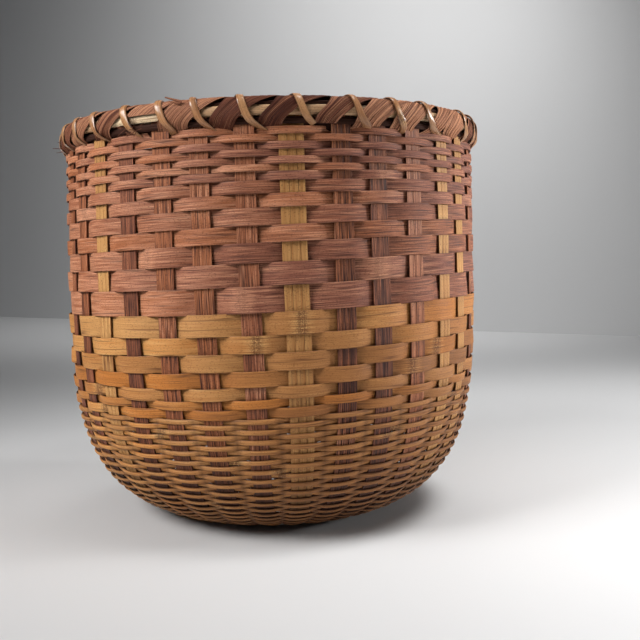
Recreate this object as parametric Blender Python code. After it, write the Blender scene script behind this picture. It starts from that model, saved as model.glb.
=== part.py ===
"""Round bamboo basket: a plaited base, uprights, woven rows and a lashed rim.

Metres, +Z up, standing on Z = 0 with its axis on Z. The front faces -Y.
"""

import math

import bmesh
import bpy
from mathutils import Vector

# Overall sizes
HEIGHT = 0.312
WALL_RADIUS = 0.1665  # axis to the middle of the uprights, where the wall is straight
FLOOR_RADIUS = 0.070  # axis to where the flat base starts to turn up
BELLY_HEIGHT = 0.180  # height over which the base turns into the straight wall
BELLY_WIDTH_POWER = 0.96
BELLY_HEIGHT_POWER = 0.70
CLEARANCE = 0.0003  # air left between pieces that touch

# Uprights: long strips that cross in the base and turn up on both sides
LONG_STRIPS = 9
CROSS_STRIPS = 8
STRIP_THICKNESS = 0.0012
BASE_PITCH = 0.0118
BASE_STRIP_WIDTH = 0.0082
UPRIGHT_WIDTH = 0.0140
WIDE_UPRIGHT_WIDTH = 0.0170  # the middle long strip is the widest
UPRIGHT_LEAN = math.radians(3.0)  # how far an upright drifts round from base to rim
FAN_LENGTH = 0.036  # length beyond the flat base over which the uprights fan out
BELLY_FACETS = 8
NORMAL_REACH = 0.0025  # length each way over which the wall's direction is averaged
TAN_STRIPS = {"long_upright_strip_5", "long_upright_strip_9", "cross_upright_strip_1"}

# Woven rows, from the rim down: the height that each one takes on the wall
ROW_HEIGHTS = (
    0.0044, 0.0044, 0.0044, 0.0043, 0.0043, 0.0047, 0.0060,
    0.0085, 0.0090, 0.0119, 0.0114, 0.0136, 0.0153, 0.0178,
    0.0153, 0.0122, 0.0119, 0.0107, 0.0085, 0.0060, 0.0068,
)
SMOKED_ROWS = 14  # the rows below these are tan
ROW_GAP = 0.0005
ROW_THICKNESS = 0.0008
ROW_CLEARANCE = 1.5 * CLEARANCE  # rows bend round the uprights, so they stand off a little more
ROW_RISE = 0.0055  # how far a row climbs on the right and falls on the left
RISE_BLEND = 0.080  # length from the rim, and from the first row, over which the climb sets in
BULGE_ROUNDS = 8  # times that a row's bulges are worked out again from their neighbours
FIRST_ROW_RADIUS = 0.095  # where the weaving starts on the turn of the base
FINE_ROW_HEIGHT = 0.0039
FINE_ROW_THICKNESS = 0.0011
FINE_WEAVER_PIECES = 4  # lengths spliced end to end in each of the two fine weavers
SPLICE_GAP = 0.0008
SPLICE_SHIFT = 7  # uprights by which the second fine weaver's splices come before the first's
CLIMB_UPRIGHTS = 2  # uprights on each side of the back over which a fine weaver climbs a row

# Rim: two hoops, a broad wrapping and a narrow binding over it
HOOP_HEIGHT = 0.0175
HOOP_THICKNESS = 0.0040
HOOP_CHAMFER = 0.0025
WRAP_THICKNESS = 0.0009
WRAP_WIDTH_AT_PASS = 0.0125
WRAP_WIDTH_ON_FACE = 0.0180
BINDING_THICKNESS = 0.0010
BINDING_WIDTH = 0.0046
WRAP_SEAT = 0.0006  # air between the hoops and the wrapping
BINDING_SEAT = 0.0005  # air between the wrapping and the binding
# Where each winding starts in a gap between uprights, and how far round it has gone, in gaps,
# at the six corners of the rim that it passes on its way over and back
WRAP_START = 0.50
WRAP_ADVANCES = (0.0, 0.55, 0.64, 0.72, 0.80, 1.0)
BINDING_START = 0.44
BINDING_ADVANCES = (0.0, 0.34, 0.42, 0.50, 0.58, 1.0)

UPRIGHTS = 2 * (LONG_STRIPS + CROSS_STRIPS)
STEP = 2.0 * math.pi / UPRIGHTS
BASE_LEVEL = 1.5 * STRIP_THICKNESS + CLEARANCE  # middle of the flat strips of the base
RIM_LAYERS = WRAP_SEAT + WRAP_THICKNESS + BINDING_SEAT + BINDING_THICKNESS
HOOP_TOP = HEIGHT - RIM_LAYERS
HOOP_LOW = HOOP_TOP - HOOP_HEIGHT
UPRIGHT_TOP = HOOP_TOP - HOOP_CHAMFER
WEAVE_TOP = HOOP_LOW - RIM_LAYERS - CLEARANCE
HALF_STRIP = 0.5 * STRIP_THICKNESS
WEAVE_LIFT = STRIP_THICKNESS + CLEARANCE  # step of a long strip over or under a cross strip
NUDGE = 0.001  # small length for taking a direction along a line

# Colour and roughness of each kind of bamboo
FINISHES = {
    "smoked": ((0.26, 0.12, 0.07), 0.55),
    "tan": ((0.55, 0.33, 0.14), 0.45),
    "pale": ((0.72, 0.52, 0.28), 0.45),
    "dark": ((0.10, 0.055, 0.04), 0.50),
}


def clear_scene():
    for thing in list(bpy.data.objects):
        bpy.data.objects.remove(thing, do_unlink=True)


def material(name, colour, roughness):
    made = bpy.data.materials.new(name)
    made.use_nodes = True
    shader = made.node_tree.nodes["Principled BSDF"]
    shader.inputs["Base Color"].default_value = (*colour, 1.0)
    shader.inputs["Roughness"].default_value = roughness
    shader.inputs["Metallic"].default_value = 0.0
    return made


def smoothstep(value):
    value = min(max(value, 0.0), 1.0)
    return value * value * (3.0 - 2.0 * value)


# The wall's middle line, from the edge of the flat base up to the top of the uprights


def belly_point(turn):
    radius = FLOOR_RADIUS + (WALL_RADIUS - FLOOR_RADIUS) * math.sin(turn) ** BELLY_WIDTH_POWER
    level = BASE_LEVEL + BELLY_HEIGHT * (1.0 - math.cos(turn) ** BELLY_HEIGHT_POWER)
    return radius, level


def wall_line():
    turns = [0.5 * math.pi * facet / BELLY_FACETS for facet in range(BELLY_FACETS)]
    points = [belly_point(turn) for turn in turns]
    points.append((WALL_RADIUS, BASE_LEVEL + BELLY_HEIGHT))
    points.append((WALL_RADIUS, UPRIGHT_TOP))
    lengths = [0.0]
    for low, high in zip(points, points[1:]):
        lengths.append(lengths[-1] + math.dist(low, high))
    return points, lengths


WALL_POINTS, WALL_LENGTHS = wall_line()


def wall_part(length):
    """The wall's straight facet that a length falls on, and the share of it that lies below."""
    last = len(WALL_POINTS) - 2
    part = next((i for i in range(last) if length < WALL_LENGTHS[i + 1]), last)
    return part, (length - WALL_LENGTHS[part]) / (WALL_LENGTHS[part + 1] - WALL_LENGTHS[part])


def wall_at(length):
    """Radius and height at a length along the wall, counted from the edge of the base."""
    part, share = wall_part(length)
    low, high = WALL_POINTS[part], WALL_POINTS[part + 1]
    return low[0] + share * (high[0] - low[0]), low[1] + share * (high[1] - low[1])


def wall_normal(length):
    """Outward direction (radial, up) of the wall, averaged over a short reach."""
    low, high = wall_at(length - NORMAL_REACH), wall_at(length + NORMAL_REACH)
    size = math.dist(low, high)
    return (high[1] - low[1]) / size, -(high[0] - low[0]) / size


def wall_length_at_radius(radius):
    """Length along the turn of the base at which the wall reaches a radius."""
    part = next(i for i in range(BELLY_FACETS) if radius < WALL_POINTS[i + 1][0])
    low, high = WALL_POINTS[part][0], WALL_POINTS[part + 1][0]
    share = (radius - low) / (high - low)
    return WALL_LENGTHS[part] + share * (WALL_LENGTHS[part + 1] - WALL_LENGTHS[part])


FIRST_ROW_LENGTH = wall_length_at_radius(FIRST_ROW_RADIUS)
WEAVE_LENGTH = WALL_LENGTHS[-1] - (UPRIGHT_TOP - WEAVE_TOP)


def lean_at(level):
    return -UPRIGHT_LEAN * (level - BASE_LEVEL) / (UPRIGHT_TOP - BASE_LEVEL)


def round_point(radius, angle, level):
    """Angle 0 is the front, at -Y, and grows to the right, towards +X."""
    return Vector((radius * math.sin(angle), -radius * math.cos(angle), level))


# Solids


def loft(name, rings, closed, finish):
    """One solid through rings of points; an open one gets a cap at each end."""
    mesh = bpy.data.meshes.new(name)
    shape = bmesh.new()
    rows = [[shape.verts.new(point) for point in ring] for ring in rings]
    sides = len(rows[0])
    pairs = list(zip(rows, rows[1:]))
    if closed:
        pairs.append((rows[-1], rows[0]))
    for ring, following in pairs:
        for side in range(sides):
            after = (side + 1) % sides
            shape.faces.new((ring[side], ring[after], following[after], following[side]))
    if not closed:
        shape.faces.new(rows[0])
        shape.faces.new(rows[-1])
    bmesh.ops.recalc_face_normals(shape, faces=shape.faces)
    shape.to_mesh(mesh)
    shape.free()
    mesh.materials.append(finish)
    made = bpy.data.objects.new(name, mesh)
    bpy.context.scene.collection.objects.link(made)
    return made


def strip_ring(centre, across, normal, width, thickness):
    side = across.normalized() * (0.5 * width)
    out = normal.normalized() * (0.5 * thickness)
    return [centre - side - out, centre + side - out, centre + side + out, centre - side + out]


# Uprights and base


def upright_width(radius, wide):
    full = WIDE_UPRIGHT_WIDTH if wide else UPRIGHT_WIDTH
    share = (radius - FLOOR_RADIUS) / (WALL_RADIUS - FLOOR_RADIUS)
    return BASE_STRIP_WIDTH + (full - BASE_STRIP_WIDTH) * min(max(share, 0.0), 1.0)


def upright_is_wide(upright):
    return upright % (UPRIGHTS // 2) == 0


def side_of(upright):
    """Which way an upright leaves the base, and its place among those that leave with it."""
    quarter = 0.5 * math.pi
    place = (upright + LONG_STRIPS // 2) % UPRIGHTS
    for side in range(4):
        count = CROSS_STRIPS if side % 2 else LONG_STRIPS
        if place < count:
            return side * quarter, place - 0.5 * (count - 1)
        place -= count
    raise ValueError(upright)


def upright_centre(upright, length):
    """An upright leaves the base straight, then fans out to its place round the wall."""
    heading, place = side_of(upright)
    radius, level = wall_at(length)
    straight = math.asin(min(max(place * BASE_PITCH / radius, -1.0), 1.0))
    blend = smoothstep(length / FAN_LENGTH)
    turned = straight + (place * STEP + lean_at(level) - straight) * blend
    return round_point(radius, heading + turned, level)


UPRIGHT_LINES = [[upright_centre(k, length) for length in WALL_LENGTHS] for k in range(UPRIGHTS)]


def upright_point(upright, length):
    """Middle of an upright, on its straight facets, at a length along the wall."""
    line = UPRIGHT_LINES[upright % UPRIGHTS]
    part, share = wall_part(length)
    return line[part].lerp(line[part + 1], share)


def upright_normal(upright, length):
    radial, up = wall_normal(length)
    centre = upright_point(upright, length)
    return round_point(radial, math.atan2(centre.x, -centre.y), up)


def upright_rings(upright):
    """Rings of one upright, from the edge of the base to the rim."""
    rings = []
    for length in WALL_LENGTHS:
        along = upright_point(upright, length + NUDGE) - upright_point(upright, length - NUDGE)
        normal = upright_normal(upright, length)
        width = upright_width(wall_at(length)[0], upright_is_wide(upright))
        centre = upright_point(upright, length)
        rings.append(strip_ring(centre, along.cross(normal), normal, width, STRIP_THICKNESS))
    return rings


def turn_about_axis(point, angle):
    cosine, sine = math.cos(angle), math.sin(angle)
    return Vector((point.x * cosine - point.y * sine, point.x * sine + point.y * cosine, point.z))


def base_rings(offset, heading, crossings, parity, woven):
    """Rings across the flat base; a woven strip steps over and under each one it crosses."""
    flat = 0.5 * BASE_STRIP_WIDTH + CLEARANCE
    reach = 0.5 * (crossings - 1) * BASE_PITCH
    if woven:
        stations = []
        for crossing in range(crossings):
            place = crossing * BASE_PITCH - reach
            level = BASE_LEVEL + (WEAVE_LIFT if (crossing + parity) % 2 else -WEAVE_LIFT)
            stations += [(place - flat, level), (place + flat, level)]
    else:
        stations = [(-reach - flat, BASE_LEVEL), (reach + flat, BASE_LEVEL)]
    rings = []
    across, down = Vector((1.0, 0.0, 0.0)), Vector((0.0, 0.0, -1.0))
    for place, level in stations:
        centre = Vector((offset, place, level))
        ring = strip_ring(centre, across, down, BASE_STRIP_WIDTH, STRIP_THICKNESS)
        rings.append([turn_about_axis(point, heading) for point in ring])
    return rings


def make_strips(finishes):
    groups = (
        ("long", LONG_STRIPS, CROSS_STRIPS, 0.0, -(LONG_STRIPS // 2), True),
        ("cross", CROSS_STRIPS, LONG_STRIPS, 0.5 * math.pi, LONG_STRIPS - LONG_STRIPS // 2, False),
    )
    for group, count, crossings, heading, first, woven in groups:
        for index in range(count):
            offset = (index - 0.5 * (count - 1)) * BASE_PITCH
            near = upright_rings(first + index)
            far = upright_rings(first + count - 1 - index + UPRIGHTS // 2)
            far = [[ring[1], ring[0], ring[3], ring[2]] for ring in far]
            middle = base_rings(offset, heading, crossings, index, woven)
            rings = near[::-1] + middle + far
            name = f"{group}_upright_strip_{index + 1}"
            loft(name, rings, False, finishes["tan" if name in TAN_STRIPS else "smoked"])


# Woven rows


def bulges(row, length, thickness):
    """How far a row's middle stands off each upright's middle so that it clears its edges."""
    need = HALF_STRIP + 0.5 * thickness + ROW_CLEARANCE
    radius = wall_at(length)[0]
    radial = wall_normal(length)[0]
    points = [upright_point(k, length) for k in range(UPRIGHTS)]
    angles = [math.atan2(point.x, -point.y) for point in points]
    gaps = [(angles[(k + 1) % UPRIGHTS] - angles[k]) % (2.0 * math.pi) for k in range(UPRIGHTS)]
    sizes = [need] * UPRIGHTS
    for _ in range(BULGE_ROUNDS):
        before = sizes
        sizes = []
        for k in range(UPRIGHTS):
            half = 0.5 * upright_width(radius, upright_is_wide(k))
            side = 1.0 if passes_outside(row, k) else -1.0
            size = need
            for gap, beside in ((gaps[k - 1], before[k - 1]), (gaps[k], before[(k + 1) % UPRIGHTS])):
                share = half / (radius * math.sin(gap))
                sag = side * radius * (1.0 - math.cos(gap)) * radial
                size = max(size, (need + share * (beside + sag)) / (1.0 - share))
            sizes.append(size)
    return [size if passes_outside(row, k) else -size for k, size in enumerate(sizes)]


def risen(length, upright):
    """Rows climb on the right and fall on the left, but stay level at the rim and at the base."""
    from_rim = smoothstep((WEAVE_LENGTH - length) / RISE_BLEND)
    from_base = smoothstep((length - FIRST_ROW_LENGTH) / RISE_BLEND)
    return length + ROW_RISE * from_rim * from_base * math.sin(upright * STEP)


def row_ring(length, height, upright, along, offset, thickness, ridged):
    """Section of a row: flat inside, and outside either flat or with a ridge."""
    normal = upright_normal(upright, risen(length, upright))

    def corner(reach, away):
        point = upright_point(upright, risen(length + reach, upright)) + away * normal
        return turn_about_axis(point, along * STEP)

    inner, outer = offset - 0.5 * thickness, offset + 0.5 * thickness
    half = 0.5 * height
    if ridged:
        return [corner(-half, inner), corner(0.0, outer), corner(half, inner)]
    return [corner(-half, inner), corner(-half, outer), corner(half, outer), corner(half, inner)]


def passes_outside(row, upright):
    """Rows count from 1 at the rim; the odd ones pass in front of the middle upright."""
    return (row + upright) % 2 == 1


def make_rows(finishes):
    top = WEAVE_LENGTH
    for row, height in enumerate(ROW_HEIGHTS, start=1):
        length = top - 0.5 * height
        top -= height
        offsets = bulges(row, length, ROW_THICKNESS)
        rings = []
        for k in range(UPRIGHTS):
            rings.append(row_ring(length, height - ROW_GAP, k, 0.0, offsets[k], ROW_THICKNESS, False))
        finish = finishes["smoked" if row <= SMOKED_ROWS else "tan"]
        loft(f"row_{row:02d}_weaver", rings, True, finish)
    return top


def climb(turn):
    """Rows climbed after some turns from the back: level in front, rising by the back."""
    whole = math.floor(turn)
    share = turn - whole
    reach = CLIMB_UPRIGHTS / UPRIGHTS
    if share < reach:
        return whole - 0.5 * (1.0 - share / reach)
    if share > 1.0 - reach:
        return whole + 0.5 * (share - 1.0 + reach) / reach
    return float(whole)


def make_fine_rows(top, finishes):
    """Two fine weavers chase each other round and up, each spliced from several lengths."""
    turns = max(2, round((top - FIRST_ROW_LENGTH) / (2.0 * FINE_ROW_HEIGHT)))
    height = (top - FIRST_ROW_LENGTH) / (2.0 * turns)
    first_row = len(ROW_HEIGHTS) + 2 * turns
    back = UPRIGHTS // 2
    stations = turns * UPRIGHTS
    for weaver in range(2):
        row = first_row - weaver
        # a splice hides where the weaver passes inside an upright
        hidden = 1 if passes_outside(row, back) else 0
        inset = CLIMB_UPRIGHTS + (CLIMB_UPRIGHTS + hidden) % 2
        share = (stations - 2 * inset) / FINE_WEAVER_PIECES
        ends = [inset]
        for piece in range(1, FINE_WEAVER_PIECES):
            ends.append(inset + 2 * round(0.5 * (piece * share - SPLICE_SHIFT * weaver)))
        ends.append(stations - inset)
        for piece in range(FINE_WEAVER_PIECES):
            rings = fine_rings(ends[piece], ends[piece + 1], row, weaver + 0.5, height)
            name = f"fine_weaver_{'ab'[weaver]}{piece + 1}"
            loft(name, rings, False, finishes["tan"])


def fine_rings(begin, end, row, rows_below, height):
    """Rings of one length of a fine weaver, between two stations counted from the back."""
    rings = []
    back = UPRIGHTS // 2
    half_gap = 0.5 * SPLICE_GAP / (WALL_RADIUS * STEP)
    for station in range(begin, end + 1):
        place = float(station)
        if station == begin:
            place += half_gap
        if station == end:
            place -= half_gap
        length = FIRST_ROW_LENGTH + (rows_below + 2.0 * climb(place / UPRIGHTS)) * height
        upright = (back + station) % UPRIGHTS
        offset = bulges(row, length, FINE_ROW_THICKNESS)[upright]
        along = place - station
        ring = row_ring(length, height - ROW_GAP, upright, along, offset, FINE_ROW_THICKNESS, True)
        rings.append(ring)
    return rings


# Rim


def make_hoop(name, near_wall, away, finish):
    """A split hoop with flats against the uprights; away is +1 outside the wall and -1 inside."""
    rings = []
    far = near_wall + away * HOOP_THICKNESS
    cut = away * HOOP_CHAMFER
    section = (
        (near_wall, HOOP_LOW),
        (far, HOOP_LOW),
        (far, HOOP_TOP - HOOP_CHAMFER),
        (far - cut, HOOP_TOP),
        (near_wall, HOOP_TOP),
    )
    corner = 1.0 / math.cos(0.5 * STEP)
    shift = lean_at(HOOP_LOW)
    for k in range(UPRIGHTS):
        angle = (k + 0.5) * STEP + shift
        rings.append([round_point(radius * corner, angle, level) for radius, level in section])
    loft(name, rings, True, finish)


def rim_section(grow):
    """Outline of the rim grown outwards, starting low outside and going up and over."""
    outer = (WALL_RADIUS + HALF_STRIP + CLEARANCE + HOOP_THICKNESS) / math.cos(0.5 * STEP) + grow
    inner = WALL_RADIUS - HALF_STRIP - CLEARANCE - HOOP_THICKNESS - grow
    low, high = HOOP_LOW - grow, HOOP_TOP + grow
    cut = HOOP_CHAMFER + grow * (2.0 - math.sqrt(2.0))
    return (
        (outer, low),
        (outer, high - cut),
        (outer - cut, high),
        (inner + cut, high),
        (inner, high - cut),
        (inner, low),
    )


def winding_rings(first, loops, start, advances, grow, thickness, widths, order):
    """A flat strip wound round the rim, one loop to each gap between uprights."""
    rings = []
    under, over = rim_section(grow), rim_section(grow + thickness)
    shift = lean_at(HOOP_LOW)
    for loop in range(first, first + loops):
        for place, corner in enumerate(order):
            angle = (loop + start + advances[place]) * STEP + shift
            half = 0.5 * widths[place] / WALL_RADIUS
            rings.append([
                round_point(under[corner][0], angle - half, under[corner][1]),
                round_point(over[corner][0], angle - half, over[corner][1]),
                round_point(over[corner][0], angle + half, over[corner][1]),
                round_point(under[corner][0], angle + half, under[corner][1]),
            ])
    return rings


def least_gap(rings, loop_size):
    """Smallest distance between points of the strip that lie a loop or more apart."""
    least = math.inf
    for near in range(len(rings)):
        for far in range(near + loop_size, min(near + 2 * loop_size + 1, len(rings))):
            for point in rings[near]:
                for other in rings[far]:
                    least = min(least, (point - other).length)
    return least


def make_windings(finishes):
    half_way = UPRIGHTS // 2
    low, face = WRAP_WIDTH_AT_PASS, WRAP_WIDTH_ON_FACE
    wrap = {
        "start": WRAP_START,
        "advances": WRAP_ADVANCES,
        "grow": WRAP_SEAT,
        "thickness": WRAP_THICKNESS,
        "widths": (low, face, face, face, face, low),
        "order": (0, 1, 2, 3, 4, 5),
    }
    binding = {
        "start": BINDING_START,
        "advances": BINDING_ADVANCES,
        "grow": WRAP_SEAT + WRAP_THICKNESS + BINDING_SEAT,
        "thickness": BINDING_THICKNESS,
        "widths": (BINDING_WIDTH,) * len(BINDING_ADVANCES),
        "order": (5, 4, 3, 2, 1, 0),
    }
    kinds = (("rim_wrap", wrap, finishes["dark"]), ("rim_binding", binding, finishes["tan"]))
    for name, kind, finish in kinds:
        for side, first in (("right", 0), ("left", half_way)):
            rings = winding_rings(first, half_way, **kind)
            gap = least_gap(rings, len(kind["order"]))
            print(f"{name}_{side}: {half_way} loops, least gap to itself {gap * 1000:.1f} mm")
            loft(f"{name}_{side}", rings, False, finish)


def main():
    clear_scene()
    finishes = {kind: material(f"{kind}_bamboo", *look) for kind, look in FINISHES.items()}
    make_strips(finishes)
    top = make_rows(finishes)
    make_fine_rows(top, finishes)
    near_wall = HALF_STRIP + CLEARANCE
    make_hoop("outer_hoop", WALL_RADIUS + near_wall, 1.0, finishes["pale"])
    make_hoop("inner_hoop", WALL_RADIUS - near_wall, -1.0, finishes["pale"])
    make_windings(finishes)
    triangles = 0
    for made in bpy.data.objects:
        made.data.calc_loop_triangles()
        triangles += len(made.data.loop_triangles)
    print(f"{len(bpy.data.objects)} pieces, {triangles} triangles")


main()
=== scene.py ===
import math

import bpy
import numpy as np
from bpy.props import FloatProperty, FloatVectorProperty, IntProperty, PointerProperty
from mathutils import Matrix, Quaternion, Vector


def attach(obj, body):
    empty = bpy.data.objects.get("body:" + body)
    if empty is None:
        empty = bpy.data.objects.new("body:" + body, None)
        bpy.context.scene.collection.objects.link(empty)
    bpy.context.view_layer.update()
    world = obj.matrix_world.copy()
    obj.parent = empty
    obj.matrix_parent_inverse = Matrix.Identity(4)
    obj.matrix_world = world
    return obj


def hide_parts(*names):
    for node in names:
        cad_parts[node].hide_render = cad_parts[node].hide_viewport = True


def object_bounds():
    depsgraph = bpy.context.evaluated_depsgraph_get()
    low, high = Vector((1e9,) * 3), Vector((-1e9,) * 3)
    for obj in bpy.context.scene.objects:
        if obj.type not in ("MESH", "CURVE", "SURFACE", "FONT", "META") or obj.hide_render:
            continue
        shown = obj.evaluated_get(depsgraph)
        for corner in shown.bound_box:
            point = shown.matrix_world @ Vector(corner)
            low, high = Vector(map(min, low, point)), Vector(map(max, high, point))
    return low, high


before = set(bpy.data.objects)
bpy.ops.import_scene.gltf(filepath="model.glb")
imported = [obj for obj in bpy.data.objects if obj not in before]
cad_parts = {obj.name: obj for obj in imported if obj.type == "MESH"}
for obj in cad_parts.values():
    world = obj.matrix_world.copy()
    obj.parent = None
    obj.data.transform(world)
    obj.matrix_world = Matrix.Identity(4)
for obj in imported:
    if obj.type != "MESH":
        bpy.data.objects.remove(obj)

bl_info = {
    "name": "Bamboo Basket",
    "version": (1, 0, 0),
    "blender": (4, 5, 0),
    "location": "View3D > Sidebar > Basket",
    "description": "Weaves a round bamboo basket over its solid model",
    "category": "Add Mesh",
}

BODY = "root"
CAD_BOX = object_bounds()
LONG_STRIPS = 9
CROSS_STRIPS = 8
UPRIGHTS = 2 * (LONG_STRIPS + CROSS_STRIPS)
BACK = UPRIGHTS // 2  # upright in the middle of the back, counted from the middle of the front
STEP = 2.0 * math.pi / UPRIGHTS
CLEARANCE = 0.0003  # air left between strips that touch
JOINT_SPACING = 0.42  # length of bamboo between two of its joints
HALVES = (("right", 0), ("left", BACK))  # halves of the rim, and the upright where each starts


# Sizes, finishes and view that a user would change


def length(name, description, default):
    return FloatProperty(
        name=name, description=description, default=default, min=0.0, unit="LENGTH", precision=4
    )


def turning(name, description, degrees):
    return FloatProperty(
        name=name, description=description, default=math.radians(degrees), subtype="ANGLE"
    )


def colour(name, description, default):
    return FloatVectorProperty(
        name=name, description=description, default=default, size=3, min=0.0, max=1.0, subtype="COLOR"
    )


class BasketSizes(bpy.types.PropertyGroup):
    """Sizes of the basket, in metres."""

    height: length("Height", "Floor to the top of the rim", CAD_BOX[1].z)
    wall_radius: length("Wall radius", "Axis to the middle of the uprights on the upper wall", 0.1670)
    floor_radius: length("Floor radius", "Axis to where the flat base starts to turn up", 0.070)
    belly_height: length("Belly height", "Height over which the wall curves out to its full radius", 0.288)
    base_level: length("Base level", "Floor to the middle of the base's flat strips", 0.0021)
    strip_thickness: length("Strip thickness", "Thickness of the uprights", 0.0012)
    base_pitch: length("Base pitch", "Distance between neighbouring strips in the base", 0.0118)
    base_width: length("Base width", "Width of a strip in the base", 0.0082)
    upright_width: length("Upright width", "Width of an upright on the wall", 0.0142)
    wide_width: length("Wide upright width", "Width of the middle uprights, front and back", 0.0172)
    upright_lean: turning("Upright lean", "How far an upright drifts round from base to rim", 1.5)
    fan_length: length("Fan length", "Length beyond the base over which the uprights fan out", 0.036)
    row_heights: FloatVectorProperty(
        name="Row heights", description="Height of each broad row, from the rim down",
        size=21, unit="LENGTH", precision=4,
        default=(
            0.0050, 0.0050, 0.0049, 0.0049, 0.0048, 0.0049, 0.0060,
            0.0085, 0.0090, 0.0119, 0.0114, 0.0136, 0.0153, 0.0178,
            0.0153, 0.0122, 0.0119, 0.0107, 0.0085, 0.0060, 0.0068,
        ),
    )
    smoked_rows: IntProperty(
        name="Smoked rows", description="Rows of smoke-darkened strip", default=14, min=0
    )
    row_thickness: length("Row thickness", "Thickness of a broad weaver", 0.0008)
    row_bulge: length("Row bulge", "How far a broad row swings out over an upright", 0.0021)
    fine_bulge: length("Fine bulge", "The same for a fine row", 0.0016)
    low_bulge: length("Low bulge", "The same for the first fine rows, close to the floor", 0.0013)
    row_rise: length("Row rise", "How far a row climbs on the right and falls on the left", 0.0055)
    rise_blend: length("Rise blend", "Length over which the climb sets in", 0.080)
    first_row_radius: length("First row radius", "Where the weaving starts on the turn of the base", 0.079)
    fine_height: length("Fine row height", "Height of a fine row", 0.0039)
    fine_thickness: length("Fine weaver thickness", "Thickness of a fine weaver", 0.0013)
    hoop_height: length("Hoop height", "Height of the two rim hoops", 0.0175)
    hoop_thickness: length("Hoop thickness", "Thickness of a rim hoop", 0.0040)
    rim_layers: length("Rim layers", "Thickness of the wrapping and the binding together", 0.0030)
    wrap_thickness: length("Wrap thickness", "Thickness of a wrapping strip", 0.0005)
    binding_width: length("Binding width", "Width of the binding strip", 0.0051)
    binding_thickness: length("Binding thickness", "Thickness of the binding strip", 0.0010)


class BasketFinishes(bpy.types.PropertyGroup):
    """Colours of the bamboo, before its streaks, splits and dirt."""

    smoked: colour("Smoked", "Smoke-darkened strip", (0.285, 0.096, 0.055))
    smoked_warm: colour("Smoked, warm", "Where it is redder", (0.430, 0.138, 0.050))
    smoked_deep: colour("Smoked, deep", "Its darkest streaks", (0.055, 0.016, 0.010))
    smoked_light: colour("Smoked, light", "Its rubbed streaks", (0.690, 0.320, 0.180))
    tan: colour("Tan", "Yellowed strip", (0.465, 0.203, 0.065))
    tan_warm: colour("Tan, warm", "Where it is more orange", (0.560, 0.195, 0.038))
    tan_deep: colour("Tan, deep", "Its darkest streaks", (0.170, 0.062, 0.022))
    tan_light: colour("Tan, light", "Its palest streaks", (0.760, 0.430, 0.160))
    pale: colour("Pale", "Split face of the rim hoops", (0.600, 0.360, 0.190))
    pale_light: colour("Pale, light", "Where it is freshly torn", (0.920, 0.700, 0.440))
    wrap: colour("Wrap", "Dark wrapping strips", (0.128, 0.039, 0.019))
    wrap_light: colour("Wrap, light", "Their rubbed streaks", (0.580, 0.270, 0.145))
    binding: colour("Binding", "Glossy binding strip", (0.470, 0.240, 0.115))
    binding_warm: colour("Binding, warm", "Where it is more orange", (0.430, 0.190, 0.080))


class BasketView(bpy.types.PropertyGroup):
    """Where the picture is taken from."""

    distance: length("Distance", "Camera to the basket's axis, measured level", 0.748)
    level: length("Level", "Camera above the floor", 0.201)
    round: turning("Round", "Camera's place round the basket, from the front to the right", -7.7)
    roll: turning("Roll", "How far the camera is rolled to the right", 1.16)
    shift: FloatVectorProperty(
        name="Shift", description="How far the lens is shifted to frame the basket from straight in front",
        size=2, default=(0.0769, -0.0906),
    )
    lens: FloatProperty(name="Lens", description="Focal length on a 36 mm sensor, in mm", default=49.05)


# Small helpers


def smoothstep(value):
    value = np.clip(value, 0.0, 1.0)
    return value * value * (3.0 - 2.0 * value)


def unit(vectors):
    return vectors / np.linalg.norm(vectors, axis=-1, keepdims=True)


def round_point(radius, angle, level):
    """Angle 0 is the front, at -Y, and grows to the right, towards +X."""
    radius, angle, level = np.broadcast_arrays(radius, angle, level)
    return np.stack([radius * np.sin(angle), -radius * np.cos(angle), level], axis=-1)


def wander(key, places, spacing, span=UPRIGHTS):
    """Smooth chance values from -1 to 1, different for each key, which repeat after the span."""
    knots = max(3, round(span / spacing))
    values = np.random.default_rng(key).uniform(-1.0, 1.0, knots)
    position = places * knots / span
    low = np.floor(position).astype(int)
    share = smoothstep(position - low)
    return values[low % knots] * (1.0 - share) + values[(low + 1) % knots] * share


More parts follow.
